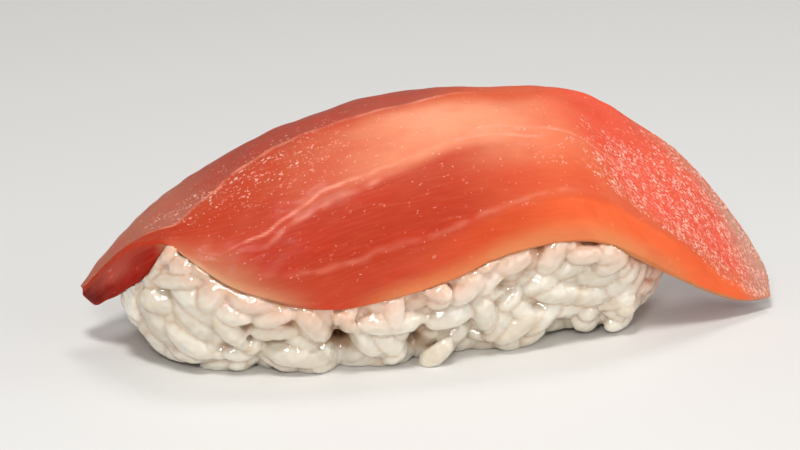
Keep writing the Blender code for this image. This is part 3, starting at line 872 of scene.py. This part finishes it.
def rice_grains(outline, rng):
    """Centres, three directions and half sizes of all grains: the front ones, an outer layer and
    a fill below it, and the last ones."""
    places, front = front_grains(outline, FRONT_GRAINS)
    clear_of = places, front[1], front[4][:, 0]
    groups = [front, *(seeded_grains(outline, rng, layer, clear_of) for layer in LAYERS)]
    groups.append(front_grains(outline, LAST_GRAINS)[1])
    centres, *frames, sizes = (np.vstack(pile) for pile in zip(*groups))
    return centres, frames, sizes


def melted(name, points, faces):
    """Overlapping closed shapes melted into one skin: a voxel remesh, then smoothed once."""
    rough = mesh_object(name + "_rough", points, faces)
    remesh = rough.modifiers.new("melt", "REMESH")
    remesh.mode = "VOXEL"
    remesh.voxel_size = MELT_VOXEL * MM
    smooth = rough.modifiers.new("soften", "SMOOTH")
    smooth.factor = 0.5
    smooth.iterations = 1
    return settled(rough, name)


def coarser_where_unseen(made, outline):
    """The same skin with fewer faces under the slice and on the base."""
    points = vertex_values(made, "co").astype(float) / MM
    turn = polar(points)[0]
    buried = outline.look_up(outline.buried, points[:, 0], turn) > 0.5
    unseen = np.flatnonzero((buried & (points[:, 2] > 5)) | (points[:, 2] < 0.05))
    made.vertex_groups.new(name="unseen").add(unseen.tolist(), 1.0, "REPLACE")
    coarser = made.modifiers.new("coarser_where_unseen", "DECIMATE")
    coarser.vertex_group = "unseen"
    coarser.ratio = 1 - DROPPED_SHARE * len(unseen) / len(points)
    return settled(made, made.name)


def rice_finish(made, outline):
    """Moves the points: by slow noise along their normals, inwards in the hollows, and back to the
    slice's underside and the table where they stand past them. Returns points and depths."""
    points = vertex_values(made, "co").astype(float) / MM
    uneven = 0.04 * ripples(points, 1.9, seed=31) + 0.025 * ripples(points, 1.1, seed=32)
    points += vertex_values(made, "normal") * uneven[:, None]
    turn = polar(points)[0]
    for x, z, half_width, half_height, sunk in HOLLOWS:
        beside = np.hypot((points[:, 0] - x) / half_width, (points[:, 2] - z) / half_height)
        hollow = sunk * bump(beside, 0, 1) * (points[:, 1] < 0)
        points[:, 1] -= hollow * np.cos(turn)
        points[:, 2] -= hollow * np.sin(turn)
    deep = outline.depth(points)
    poke = np.maximum(polar(points)[1] - outline.room(points[:, 0], turn), 0)
    points[:, 1] -= poke * np.cos(turn)
    points[:, 2] -= poke * np.sin(turn)
    points[:, 2] = np.maximum(points[:, 2], 0.0)
    made.data.vertices.foreach_set("co", (points * MM).astype(np.float32).ravel())
    made.data.update()
    return points, deep


def nearest_grains(points, centres, frames, sizes, batch=8000):
    """The nearest grain to each point, by distance in that grain's own half sizes, and how much painted
    shade lies here, where two grains meet: a bell of how much farther off the second nearest is."""
    nearest, crease_shade = np.empty(len(points), int), np.empty(len(points))
    for start in range(0, len(points), batch):
        some = (points[start:start + batch, None] - centres[None]).astype(np.float32)
        stretched = sum(
            (np.einsum("abk,bk->ab", some, way.astype(np.float32)) / size.astype(np.float32)) ** 2
            for way, size in zip(frames, sizes.T)
        )
        nearest[start:start + batch] = stretched.argmin(axis=1)
        least = np.sqrt(np.partition(stretched, 1, axis=1)[:, :2])
        meeting = bump(least[:, 1] - least[:, 0], 0, 0.16)
        crease_shade[start:start + batch] = meeting * rise(0.9, 1.15, least[:, 0])
    return nearest, crease_shade


def pressed_rice(outline):
    """Grains packed round a core and melted together, with a depth, a painted glow under the slice and
    at the right end, a tint for each grain and the painted shade where grains meet stored for each point."""
    rng = np.random.default_rng(GRAIN_SEED)
    centres, frames, sizes = rice_grains(outline, rng)
    points, faces = grain_mesh(centres, frames, sizes)
    core_points, core_faces = core_mesh(outline)
    faces = [np.vstack([part, core + len(points)]) for part, core in zip(faces, core_faces)]
    made = melted("rice_ball_grains", np.vstack([points, core_points]), faces)
    made = coarser_where_unseen(made, outline)
    points, deep = rice_finish(made, outline)

    # a painted glow: pink close below the near edge and on the shallow rice behind, orange tan at the
    # right end, as from light through the slice
    below = line_at(NEAR_LINE, points[:, 0])[:, 1] - points[:, 2]
    slice_glow = np.where(points[:, 1] < 0, 1 - rise(-0.5, 4.5, below), 1 - rise(0, 3, deep + 2))
    right_end_glow = 1.2 * rise(23, 28, points[:, 0]) * rise(2, 7, points[:, 2])
    nearest, crease_shade = nearest_grains(points, centres, frames, sizes)
    store_values(made, "deep", np.clip(deep, -2, 4))
    store_values(made, "slice_glow", np.maximum(slice_glow, right_end_glow))
    store_values(made, "tint", rng.uniform(0, 1, len(centres))[nearest])
    store_values(made, "crease_shade", crease_shade)
    return made


# ---- materials -----------------------------------------------------------------------
class Nodes:
    """A short way to write a node tree: add a node, set its inputs, and link by socket."""

    def __init__(self, name):
        self.material = bpy.data.materials.new(name)
        self.material.use_nodes = True
        self.tree = self.material.node_tree
        self.shader = self.tree.nodes["Principled BSDF"]

    def put(self, socket, value):
        """Links a socket to an input, or sets the input to a value."""
        if isinstance(value, bpy.types.NodeSocket):
            self.tree.links.new(value, socket)
        else:
            socket.default_value = value

    def add(self, kind, inputs=(), **settings):
        """A new node with its settings and inputs."""
        node = self.tree.nodes.new(kind)
        for key, value in settings.items():
            setattr(node, key, value)
        for key, value in dict(inputs).items():
            self.put(node.inputs[key], value)
        return node

    def shade(self, **inputs):
        """Inputs of the main shader, with _ for each space."""
        for key, value in inputs.items():
            self.put(self.shader.inputs[key.replace("_", " ")], value)

    def maths(self, operation, a, b=0.0, c=0.0):
        """The result of an operation on up to three values."""
        return self.add("ShaderNodeMath", {0: a, 1: b, 2: c}, operation=operation).outputs[0]

    def times(self, *values):
        """The product of two or more values."""
        product = values[0]
        for value in values[1:]:
            product = self.maths("MULTIPLY", product, value)
        return product

    def spread(self, value, low, high, to_low=0.0, to_high=1.0):
        """The value carried smoothly from one range to another, and held at its ends."""
        inputs = {
            "Value": value, "From Min": low, "From Max": high, "To Min": to_low, "To Max": to_high,
        }
        return self.add("ShaderNodeMapRange", inputs, interpolation_type="SMOOTHSTEP").outputs[0]

    def blend(self, share, a, b):
        """Colour a with that share of the constant colour b in it."""
        node = self.add("ShaderNodeMix", data_type="RGBA", blend_type="MIX")
        self.put(node.inputs[0], share)
        self.put(node.inputs[6], a)
        self.put(node.inputs[7], rgba(b))
        return node.outputs[2]

    def attribute(self, name, output="Fac"):
        """A number or a colour that the mesh holds for each point."""
        return self.add("ShaderNodeAttribute", attribute_name=name).outputs[output]

    def relief(self, height, distance, **inputs):
        """The normal of a bumpy surface, with the height of its bumps in millimetres."""
        inputs = {"Strength": 1.0, "Distance": distance * MM, "Height": height, **inputs}
        return self.add("ShaderNodeBump", inputs).outputs[0]


def rgba(colour):
    """A colour as a socket wants it."""
    return (*[float(c) for c in colour], 1.0)


def tuna_material():
    """Moist uncooked flesh: fields of red with some painted light and shade, fine fibres, painted glints,
    partly pale specks of fat, that stand proud, a thin wet film.
    """
    n = Nodes("raw_tuna")
    along = n.add("ShaderNodeUVMap", uv_map="grain").outputs[0]
    density = n.attribute("glint_flecks")

    def streaks(scale_x, scale_y, detail):
        """Noise over the surface, drawn out along the slice by unlike scales per millimetre."""
        scale = {"Vector": along, "Scale": (scale_x, scale_y, 1.0)}
        place = n.add("ShaderNodeMapping", scale).outputs[0]
        inputs = {"Vector": place, "Scale": 1.0, "Detail": detail, "Roughness": 0.55}
        return n.add("ShaderNodeTexNoise", inputs, noise_dimensions="2D").outputs[0]

    def glints(scale_x, scale_y, size, share, power):
        """Painted glints: a small oval in each cell of a jittered lattice whose chance lies under a share
        of a power of the density, each of its own strength."""
        scale = {"Vector": warped, "Scale": (scale_x, scale_y, 1.0)}
        place = n.add("ShaderNodeMapping", scale).outputs[0]
        cell = n.add("ShaderNodeTexVoronoi", {"Vector": place, "Scale": 1.0}, voronoi_dimensions="2D")
        chances = n.add("ShaderNodeSeparateColor", {0: cell.outputs["Color"]}).outputs
        wanted = n.times(n.maths("POWER", density, power), share)
        there = n.spread(n.maths("SUBTRACT", wanted, chances[0]), -0.03, 0.03)
        oval = n.spread(cell.outputs["Distance"], size, size * 0.45)
        return n.times(there, oval, n.spread(chances[1], -0.3, 0.9))

    fibres = streaks(0.30, 3.4, 4.0)
    clouds = streaks(0.16, 0.3, 3.0)
    patches = streaks(0.45, 0.6, 2.0)
    waves = {"Vector": along, "Scale": 1.6, "Detail": 2.0}
    wobble = n.add("ShaderNodeTexNoise", waves, noise_dimensions="2D").outputs["Color"]
    shift = n.add("ShaderNodeVectorMath", {0: wobble, "Scale": 0.55}, operation="SCALE").outputs[0]
    warped = n.add("ShaderNodeVectorMath", {0: along, 1: shift}, operation="ADD").outputs[0]
    # painted wet glints, partly pale specks of fat
    glint_speckle = n.maths("MAXIMUM", glints(1.5, 2.6, 0.44, 0.85, 2.2), glints(2.6, 4.2, 0.42, 0.7, 1.0))
    softer = n.times(n.spread(patches, 0.36, 0.6, 0.2, 1.0), n.spread(density, 0.05, 0.7, 0.5, 1.0))
    glint_flecks = n.times(glint_speckle, softer)
    colour = n.attribute("flesh", "Color")
    colour = n.blend(n.spread(fibres, 0.40, 0.75, 0.0, 0.07), colour, FIBRE_PALE)
    colour = n.blend(n.spread(clouds, 0.40, 0.7, 0.0, 0.18), colour, CLOUD_RED)
    # the painted glints go into the colour, and into the relief below
    colour = n.blend(n.times(glint_flecks, 0.9), colour, GLINT_FLECK_PALE)
    relief = n.relief(n.maths("MULTIPLY_ADD", fibres, 0.12, glint_flecks), 0.12, Strength=0.6)
    n.shade(
        Base_Color=colour, Roughness=0.52, Normal=relief, Alpha=n.attribute("cover"), IOR=1.36,
        Subsurface_Weight=0.5, Subsurface_Radius=(1.0, 0.28, 0.14), Subsurface_Scale=1.6 * MM,
        Specular_IOR_Level=0.15, Coat_Weight=0.05, Coat_Roughness=0.2, Coat_Normal=relief,
    )
    return n.material


def rice_material():
    """Cooked rice: creamy, milky and glossy, with painted shade, tan where grains meet and brown where
    gaps are deep, and a painted pink glow where light would come through the slice."""
    n = Nodes("cooked_rice")
    place = n.add("ShaderNodeTexCoord").outputs["Object"]

    def noise(scale, detail):
        """Smooth noise of that scale per metre."""
        inputs = {"Vector": place, "Scale": scale, "Detail": detail}
        return n.add("ShaderNodeTexNoise", inputs).outputs[0]

    clouds, mottle, fine = noise(260.0, 2.0), noise(1100.0, 0.0), noise(4800.0, 0.0)
    deep = n.attribute("deep")
    colour = n.blend(n.attribute("tint"), rgba(RICE_CREAM), RICE_GREYER)
    colour = n.blend(n.spread(clouds, 0.4, 0.65, 0.0, 0.25), colour, RICE_CLOUD)
    colour = n.blend(n.spread(mottle, 0.4, 0.7, 0.0, 0.2), colour, RICE_WHITE)
    # painted shade where grains meet, and in the gaps by their depth
    colour = n.blend(n.times(n.attribute("crease_shade"), 0.7), colour, CREASE_SHADE_TAN)
    colour = n.blend(n.spread(deep, 0.4, 1.6, 0.0, 0.75), colour, GAP_SHADE_TAN)
    colour = n.blend(n.spread(deep, 1.5, 2.6, 0.0, 0.9), colour, GAP_SHADE_BROWN)
    # painted glow of light through the slice
    colour = n.blend(n.times(n.attribute("slice_glow"), 0.65), colour, SLICE_GLOW_PINK)
    relief = n.relief(mottle, 0.12)
    n.shade(
        Base_Color=colour, Roughness=0.45, Normal=relief, Specular_IOR_Level=0.2, IOR=1.4,
        Subsurface_Weight=0.7, Subsurface_Radius=(1.0, 0.74, 0.50), Subsurface_Scale=1.2 * MM,
        Coat_Weight=1.0, Coat_Roughness=0.12, Coat_IOR=2.1,
        Coat_Normal=n.relief(fine, 0.03, Normal=relief),
    )
    return n.material


def floor_material():
    """A plain pale matt floor."""
    n = Nodes("pale_floor")
    n.shade(Base_Color=rgba(FLOOR_PALE), Roughness=0.75)
    return n.material


# ---- stage, in metres ----------------------------------------------------------------
FLOOR_HALF = 3.0
SKY_COLOUR = (0.93, 0.95, 1.0, 1)
SKY_STRENGTH = 0.20
LIT_POINT = (0.003, 0, 0.012)
LAMPS = (  # name, place, width and power
    ("key", (0.10, 0.14, 0.42), 0.14, 0.45),
    ("fill", (0.24, -0.38, 0.12), 0.28, 0.40),
    ("side", (0.45, -0.12, 0.18), 0.22, 0.44),
    ("glint", (-0.09, -0.19, 0.42), 0.09, 1.28),
    ("spark", (-0.14, -0.36, 0.24), 0.08, 0.62),
)
CAMERA_TURN = math.radians(-15)
CAMERA_LIFT = math.radians(20)
CAMERA_AWAY = 0.380
CAMERA_TARGET = (1.43, 3.63, 10.65)  # in millimetres
LENS = 153.9
FILM_WIDTH = 36


def stage():
    """A plain pale floor and soft studio lights, each turned towards the food."""
    mesh = bpy.data.meshes.new("floor")
    half = FLOOR_HALF
    corners = [(-half, -half, 0), (half, -half, 0), (half, half, 0), (-half, half, 0)]
    mesh.from_pydata(corners, [], [(0, 1, 2, 3)])
    floor = bpy.data.objects.new("floor", mesh)
    bpy.context.scene.collection.objects.link(floor)
    floor.data.materials.append(floor_material())

    world = bpy.data.worlds.new("studio")
    world.use_nodes = True
    sky = world.node_tree.nodes["Background"]
    sky.inputs["Color"].default_value = SKY_COLOUR
    sky.inputs["Strength"].default_value = SKY_STRENGTH
    bpy.context.scene.world = world

    for name, place, size, power in LAMPS:
        light = bpy.data.lights.new(name, "AREA")
        light.energy = power
        light.size = size
        lamp = bpy.data.objects.new(name, light)
        bpy.context.scene.collection.objects.link(lamp)
        lamp.location = place
        aim = np.array(LIT_POINT) - np.array(place)
        pitch = math.atan2(math.hypot(aim[0], aim[1]), -aim[2])
        lamp.rotation_euler = (pitch, 0, math.atan2(aim[1], aim[0]) - math.pi / 2)


def camera():
    """A long lens, a little above the food and round to its left."""
    turn, lift = CAMERA_TURN, CAMERA_LIFT
    back = (math.sin(turn) * math.cos(lift), -math.cos(turn) * math.cos(lift), math.sin(lift))
    data = bpy.data.cameras.new("camera")
    data.lens = LENS
    data.sensor_width = FILM_WIDTH
    made = bpy.data.objects.new("camera", data)
    bpy.context.scene.collection.objects.link(made)
    made.location = np.array(CAMERA_TARGET) * MM + np.array(back) * CAMERA_AWAY
    made.rotation_euler = (math.pi / 2 - lift, 0, turn)
    bpy.context.scene.camera = made


def main():
    """The stage, the slice and the rice, each piece in the place of its own solid."""
    bpy.context.scene.view_settings.view_transform = "Standard"
    camera()
    stage()

    flesh = tuna_slice()
    flesh.data.materials.append(tuna_material())
    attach(flesh, "root")
    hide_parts("tuna_slice")

    rice = pressed_rice(Outline(RICE_GAP))
    rice.data.materials.append(rice_material())
    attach(rice, "root")
    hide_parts("rice_ball")


main()
